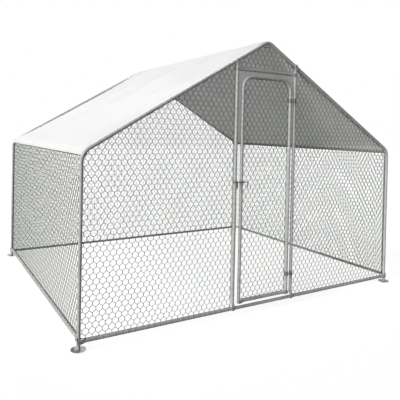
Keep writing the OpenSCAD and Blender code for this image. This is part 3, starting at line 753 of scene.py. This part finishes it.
class RUN_OT_hang_nets(bpy.types.Operator):
    """Hangs hexagonal netting in the seven panels and wraps its wire ends round the tubes"""

    bl_idname = "poultry_run.hang_nets"
    bl_label = "Hang Nets"

    def execute(self, context):
        net = context.scene.run_net
        wire = wire_finish(tuple(net.colour))
        front = (NET_Y * Y, X, Z)
        back = (-NET_Y * Y, X, Z)
        front_left = front_outline()
        front_right = front_left[::-1] * [-1, 1]
        left_post = band_heights("latch_keeper")
        right_post = band_heights("upper_hinge_bracket", "lower_hinge_bracket")
        left_stile = band_heights("latch_guide")
        right_stile = band_heights("upper_hinge_strap", "lower_hinge_strap")

        def level(x0, x1, y, z):
            return lashings((x0, y, z), (x1, y, z), math.copysign(1, -y) * Y, net)

        def upright(x, low, high, clear):
            return lashings((x, -POST_Y, low), (x, -POST_Y, high), Y, net, clear)

        def from_front_to_back(x, z, inward):
            end = POST_Y - SPLICE_GAP
            return lashings((x, -end, z), (x, end, z), inward, net)

        def front_wraps(side, clear):
            corner, door = side * (POST_X - SPLICE_GAP), side * (DOOR_X + SPLICE_GAP)
            low, high = rafter_run(-POST_Y, side, FIRST_SHARE, FRONT_LAST_SHARE)
            return [
                level(corner, door, -POST_Y, RAIL_Z),
                lashings(low, high, Y, net),
                upright(side * DOOR_X, RAIL_Z + SPLICE_GAP, HEADER_Z - SPLICE_GAP, clear),
            ]

        def back_wraps():
            found = [level(-POST_X + SPLICE_GAP, POST_X - SPLICE_GAP, POST_Y, RAIL_Z)]
            for side in (-1, 1):
                low, high = rafter_run(POST_Y, side, FIRST_SHARE, BACK_LAST_SHARE)
                found.append(lashings(low, high, -Y, net))
            return found

        def side_wraps(side):
            return [
                from_front_to_back(side * POST_X, SIDE_RAIL_Z, -side * X),
                from_front_to_back(side * PURLIN_X, PURLIN_Z, -Z),
            ]

        def gable_wraps():
            return [level(-DOOR_X + SPLICE_GAP, DOOR_X - SPLICE_GAP, -POST_Y, HEADER_Z)]

        def door_wraps():
            low, high = LEAF_RAIL_Z + SPLICE_GAP / 2, LEAF_TOP_Z - LEAF_BEND
            return [
                upright(STILE_LEFT, low, high, left_stile),
                upright(STILE_RIGHT, low, high, right_stile),
                level(STILE_LEFT + LEAF_BEND, STILE_RIGHT - LEAF_BEND, -POST_Y, LEAF_TOP_Z),
                level(STILE_LEFT + SPLICE_GAP, STILE_RIGHT - SPLICE_GAP, -POST_Y, LEAF_RAIL_Z),
            ]

        panels = [
            ("front_left", "frame", front_left, front, front_wraps(-1, left_post)),
            ("front_right", "frame", front_right, front, front_wraps(1, right_post)),
            ("gable", "frame", gable_outline(), front, gable_wraps()),
            ("back", "frame", back_outline(), back, back_wraps()),
            ("left", "frame", side_outline(), (NET_X * X, Y, Z), side_wraps(-1)),
            ("right", "frame", side_outline(), (-NET_X * X, Y, Z), side_wraps(1)),
            ("door", "door_leaf", door_outline(), front, door_wraps()),
        ]
        for panel, body, outline, plane, wraps in panels:
            name, node = f"{panel}_netting", f"{panel}_net"
            points, faces = join_parts(net_parts(outline, plane, net) + wraps)
            piece = make_piece(name, points, faces, [wire])
            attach(piece, body)
            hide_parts(node)
        return {"FINISHED"}


# Roof cover

# Points of the cloth along its slopes, from front to back, close to an edge and across a hem
SLOPE_POINTS = 181
DEPTH_POINTS = 101
NEAR_POINTS = 9
HEM_POINTS = 4
# Width of the close points beside an edge, start of a hem behind its fold, and half the length over
# which a slope is measured, in metres
NEAR_EDGE = 0.03
HEM_START = 0.0015
SLOPE_STEP = 0.004
# How far the cloth goes on round the eave bend, past the middle of the purlin
EAVE_WRAP = math.radians(8)
# Points round the eave and ridge bends
EAVE_POINTS = 14
RIDGE_POINTS = 12
# Share of a half that lies tight over the eave, and the share that hangs free
TIGHT_SHARE = 0.06
FREE_SHARE = 0.88
# Shape of the sag along a slope and from front to back, and how soon the ripples start
SAG_POWERS = (0.8, 0.7)
RIPPLE_START = 3
# Strips along the edges that dip and tuck in, in metres, and the shapes of the dip and the tuck
DIP_STRIP = 0.2
TUCK_STRIP = 0.028
EDGE_POWER = 1.5
DIP_POWER = 0.4


class RUN_OT_stretch_cover(bpy.types.Operator):
    """Stretches the woven cover over both slopes, with sag, ripples and folded hems"""

    bl_idname = "poultry_run.stretch_cover"
    bl_label = "Stretch Cover"

    def execute(self, context):
        cover = context.scene.run_cover
        line = self.half_line(TUBE_R + cover.clear)
        line = np.concatenate([line, line[-2::-1] * [-1, 1]])
        run = np.concatenate([[0], np.cumsum(np.linalg.norm(np.diff(line, axis=0), axis=1))])
        width, length = run[-1], 2 * (POST_Y - TUBE_R - cover.side_gap)
        along, under_x = self.with_hems(width, cover.eave_hem, SLOPE_POINTS)
        deep, under_y = self.with_hems(length, cover.hem, DEPTH_POINTS)

        def on_line(at):
            return np.stack([np.interp(at, run, line[:, k]) for k in (0, 1)], axis=1)

        ahead, behind = on_line(along + SLOPE_STEP), on_line(along - SLOPE_STEP)
        slope = (ahead - behind) / np.linalg.norm(ahead - behind, axis=1, keepdims=True)
        out = np.stack([-slope[:, 1], slope[:, 0]], axis=1)
        drop = self.relief(along / width, deep / length, width, length, cover)
        drop = drop + cover.fold * (under_x[:, None] + under_y[None, :])
        flat = on_line(along)[:, None] - drop[..., None] * out[:, None]
        y = np.broadcast_to(deep - length / 2, drop.shape)
        points = np.stack([flat[..., 0], y, flat[..., 1]], axis=-1)
        number = np.arange(drop.size).reshape(drop.shape)
        corners = [number[:-1, :-1], number[1:, :-1], number[1:, 1:], number[:-1, 1:]]
        faces = np.stack(corners, axis=-1).reshape(-1, 4)
        cloth = cloth_finish(tuple(cover.colour), cover.through)
        piece = make_piece("roof_cloth", points.reshape(-1, 3), faces.tolist(), [cloth])
        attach(piece, "frame")
        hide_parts("roof_cover")
        return {"FINISHED"}

    @staticmethod
    def with_hems(size, hem, steps):
        """Places across the cloth from one hem's end to the other's, and 1 where folded under"""
        start = np.linspace(hem, HEM_START, HEM_POINTS)
        near = np.linspace(0, NEAR_EDGE, NEAR_POINTS)
        inner = np.linspace(NEAR_EDGE, size - NEAR_EDGE, steps)[1:-1]
        places = np.concatenate([start, near, inner, size - near[::-1], size - start[::-1]])
        under = np.zeros(len(places))
        under[:HEM_POINTS] = under[-HEM_POINTS:] = 1
        return places, under

    @staticmethod
    def half_line(lift):
        """Outer line of the left half: round the eave bend, up the slope, over half the ridge"""
        eave = np.linspace(EAVE_MID + EAVE_WRAP, math.pi / 2 + SLOPE, EAVE_POINTS)
        ridge = np.linspace(math.pi / 2 + SLOPE, math.pi / 2, RIDGE_POINTS)
        return np.array(
            arc(-BEND_X, BEND_Z, EAVE_BEND + lift, eave)
            + arc(0.0, RIDGE_Z - APEX_BEND, APEX_BEND + lift, ridge)
        )

    @staticmethod
    def relief(along, deep, width, length, cover):
        """How far each point hangs below the tubes"""
        half = 1 - abs(2 * along - 1)
        slope = np.clip((half - TIGHT_SHARE) / FREE_SHARE, 0, 1)[:, None]
        depth = deep[None, :]
        down, back = SAG_POWERS
        hang = np.sin(math.pi * slope) ** down * np.sin(math.pi * np.clip(depth, 0, 1)) ** back
        x, y = along[:, None] * width, depth * length
        hold = np.minimum(1, RIPPLE_START * hang)
        # Three crossing sets of waves, in radians per metre, with their shares
        ripple = (
            np.sin(9.0 * y + 1.4 * np.sin(2.1 * x)) * np.sin(1.3 * x + 0.6) * 0.6
            + np.sin(17.0 * y + 3.0 * x + 0.9) * 0.3
            + np.sin(5.0 * x - 6.0 * y + 2.0) * 0.5
        )
        edge = np.minimum(depth, 1 - depth) * length
        dip_in = np.clip(1 - edge / DIP_STRIP, 0, 1) ** EDGE_POWER
        dip = cover.dip * dip_in * np.sin(math.pi * slope) ** DIP_POWER
        tuck = cover.tuck * np.clip(1 - edge / TUCK_STRIP, 0, 1) ** EDGE_POWER
        return cover.sag * hang + cover.ripple * hold * (1 + ripple) / 2 + np.maximum(dip, tuck)


# Stage

# Places of the lights, in metres; each shines on the origin
KEY_PLACE = (-6.5, -0.9, 6.0)
SIDE_PLACE = (-8.0, -2.3, 1.4)
BACK_PLACE = (3.0, 8.0, 6.0)
# Floor: its colour as light on the object meets it, and its lit colour and glow as it is seen
FLOOR_MATT = (0.15, 0.15, 0.15, 1)
FLOOR_LIT = (0.2, 0.2, 0.2, 1)
FLOOR_GLOW = 0.9
# Camera: its place in metres, its turn to the right, tilt and roll in degrees, the shift of its
# frame, its sensor's width in millimetres and how far it sees
CAMERA_PLACE = (-2.366, -4.093, 1.418)
CAMERA_ANGLES = (30.47, -0.86, 1.22)
CAMERA_SHIFT = (0.021, -0.156)
SENSOR_WIDTH = 36.0
SIGHT = 200.0


class RUN_OT_set_stage(bpy.types.Operator):
    """Sets up the floor, the lights and the camera"""

    bl_idname = "poultry_run.set_stage"
    bl_label = "Set Stage"

    def execute(self, context):
        stage = context.scene.run_stage
        context.scene.view_settings.view_transform = "Standard"
        self.lay_floor(stage)
        self.light_world(context.scene, stage)
        self.place_light("soft_key", stage.key, KEY_PLACE, stage)
        self.place_light("side_light", stage.side, SIDE_PLACE, stage)
        self.place_light("back_light", stage.back, BACK_PLACE, stage)
        self.place_camera(context.scene, stage)
        return {"FINISHED"}

    @staticmethod
    def seen_directly(tree):
        """1 for what the camera, a gloss or a clear surface sees, and 0 for light on the object"""
        path = add_node(tree, "ShaderNodeLightPath")
        total = path.outputs["Is Camera Ray"]
        for ray in ("Is Glossy Ray", "Is Transmission Ray"):
            most = add_node(tree, "ShaderNodeMath", operation="MAXIMUM")
            tree.links.new(total, most.inputs[0])
            tree.links.new(path.outputs[ray], most.inputs[1])
            total = most.outputs["Value"]
        return total

    def lay_floor(self, stage):
        """A pale floor that is seen as white and keeps the object's shadow"""
        half = stage.floor_size / 2
        corners = [(-half, -half, 0), (half, -half, 0), (half, half, 0), (-half, half, 0)]
        material = bpy.data.materials.new("studio_floor")
        material.use_nodes = True
        tree = material.node_tree
        tree.nodes.clear()
        matt = add_node(tree, "ShaderNodeBsdfDiffuse", {"Color": FLOOR_MATT})
        lit = add_node(tree, "ShaderNodeBsdfDiffuse", {"Color": FLOOR_LIT})
        glow = add_node(tree, "ShaderNodeEmission", {"Color": WHITE, "Strength": FLOOR_GLOW})
        both = add_node(tree, "ShaderNodeAddShader")
        pick = add_node(tree, "ShaderNodeMixShader")
        last = add_node(tree, "ShaderNodeOutputMaterial")
        tree.links.new(lit.outputs["BSDF"], both.inputs[0])
        tree.links.new(glow.outputs["Emission"], both.inputs[1])
        tree.links.new(self.seen_directly(tree), pick.inputs["Fac"])
        tree.links.new(matt.outputs["BSDF"], pick.inputs[1])
        tree.links.new(both.outputs["Shader"], pick.inputs[2])
        tree.links.new(pick.outputs["Shader"], last.inputs["Surface"])
        floor = make_piece("studio_floor", corners, [[0, 1, 2, 3]], [material], smooth=False)

    def light_world(self, scene, stage):
        """A world that is seen as white and gives a low, even fill"""
        world = bpy.data.worlds.new("studio_light")
        scene.world = world
        world.use_nodes = True
        tree = world.node_tree
        light = tree.nodes["Background"]
        strength = spread(tree, self.seen_directly(tree), low=stage.fill, high=1.0)
        light.inputs["Color"].default_value = WHITE
        tree.links.new(strength, light.inputs["Strength"])

    @staticmethod
    def place_light(name, strength, place, stage):
        """A soft distant light that shines from a place to the origin"""
        lamp = bpy.data.lights.new(name, "SUN")
        lamp.angle = stage.softness
        lamp.energy = strength
        light = bpy.data.objects.new(name, lamp)
        light.location = place
        light.rotation_mode = "QUATERNION"
        light.rotation_quaternion = (-light.location).to_track_quat("-Z", "Y")
        bpy.context.scene.collection.objects.link(light)

    @staticmethod
    def place_camera(scene, stage):
        """The camera, turned to the right from the front, tilted and rolled"""
        turn, tilt, roll = (math.radians(a) for a in CAMERA_ANGLES)
        ahead = math.cos(tilt)
        look = Vector((math.sin(turn) * ahead, math.cos(turn) * ahead, math.sin(tilt)))
        level = Vector((math.cos(turn), -math.sin(turn), 0))
        rise = level.cross(look)
        right = math.cos(roll) * level + math.sin(roll) * rise
        up = math.cos(roll) * rise - math.sin(roll) * level
        lens = bpy.data.cameras.new("camera")
        lens.sensor_width = SENSOR_WIDTH
        lens.lens = stage.lens
        lens.shift_x, lens.shift_y = CAMERA_SHIFT
        lens.clip_end = SIGHT
        camera = bpy.data.objects.new("camera", lens)
        facing = Matrix((right, up, -look)).transposed().to_4x4()
        camera.matrix_world = Matrix.Translation(CAMERA_PLACE) @ facing
        scene.collection.objects.link(camera)
        scene.camera = camera


class RUN_PT_panel(bpy.types.Panel):
    """Lists the run's settings and steps"""

    bl_idname = "RUN_PT_panel"
    bl_label = "Poultry Run"
    bl_space_type = "VIEW_3D"
    bl_region_type = "UI"
    bl_category = "Poultry Run"

    def draw(self, context):
        for settings, operators in STEPS:
            box = self.layout.box()
            group = getattr(context.scene, settings)
            for name in group.__annotations__:
                box.prop(group, name)
            for operator in operators:
                box.operator(f"poultry_run.{operator}")


METAL_STEPS = ("finish_tubes", "finish_feet", "finish_hinges", "finish_fasteners")
STEPS = (
    ("run_stage", ("set_stage",)),
    ("run_metal", METAL_STEPS),
    ("run_net", ("hang_nets",)),
    ("run_cover", ("stretch_cover",)),
)
SETTINGS = {
    "run_stage": StageSettings,
    "run_metal": MetalSettings,
    "run_net": NetSettings,
    "run_cover": CoverSettings,
}
CLASSES = (
    *SETTINGS.values(),
    RUN_OT_set_stage,
    RUN_OT_finish_tubes,
    RUN_OT_finish_feet,
    RUN_OT_finish_hinges,
    RUN_OT_finish_fasteners,
    RUN_OT_hang_nets,
    RUN_OT_stretch_cover,
    RUN_PT_panel,
)


def register():
    """Registers the classes and the scene's settings"""
    for item in CLASSES:
        bpy.utils.register_class(item)
    for name, group in SETTINGS.items():
        setattr(bpy.types.Scene, name, PointerProperty(type=group))


def unregister():
    """Removes the settings and the classes"""
    for name in SETTINGS:
        delattr(bpy.types.Scene, name)
    for item in reversed(CLASSES):
        bpy.utils.unregister_class(item)


def main():
    """Builds every piece in order"""
    register()
    bpy.ops.poultry_run.set_stage()
    bpy.ops.poultry_run.finish_tubes()
    bpy.ops.poultry_run.finish_feet()
    bpy.ops.poultry_run.finish_hinges()
    bpy.ops.poultry_run.finish_fasteners()
    bpy.ops.poultry_run.hang_nets()
    bpy.ops.poultry_run.stretch_cover()


if __name__ == "__main__":
    main()
